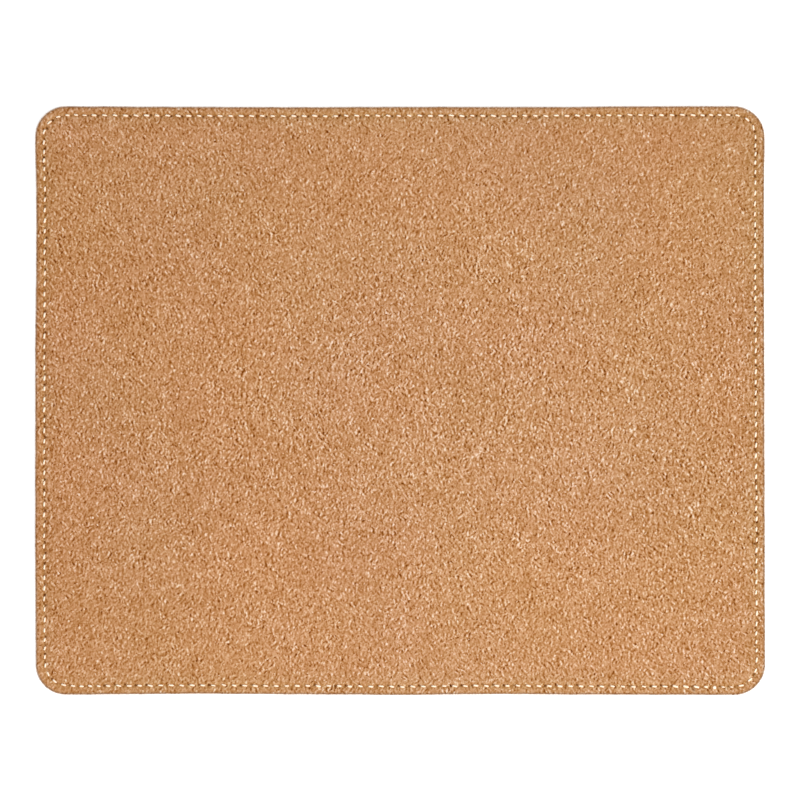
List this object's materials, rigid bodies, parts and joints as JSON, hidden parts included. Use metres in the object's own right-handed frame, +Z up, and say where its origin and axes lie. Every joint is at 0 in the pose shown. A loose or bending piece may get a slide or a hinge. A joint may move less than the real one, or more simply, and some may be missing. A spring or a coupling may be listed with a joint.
{
  "type": "mouse pad",
  "caption": "Flat rectangular mouse pad with rounded corners: a cork face bonded to a leatherette backing, with a lockstitched seam close to the edge all round.",
  "frame": {"origin": "centre of the pad on its underside, where it lies on the desk", "axes": "+Z up out of the cork face, +X along the long side, +Y along the short side away from the user"},
  "size_m": [0.26, 0.21, 0.0023],
  "materials": {
    "cork": "matt agglomerated cork with a fine crumbly grain",
    "adhesive": "cured pale adhesive film",
    "leatherette": "dark brown leatherette with a fine pebble grain",
    "upper_thread": "twisted pale cream sewing thread",
    "lower_thread": "twisted pale cream sewing thread"
  },
  "bodies": {
    "root": {"cork_face": "cork", "bond_film": "adhesive", "backing_sheet": "leatherette", "needle_thread": "upper_thread", "bobbin_thread": "lower_thread"}
  },
  "joints": []
}
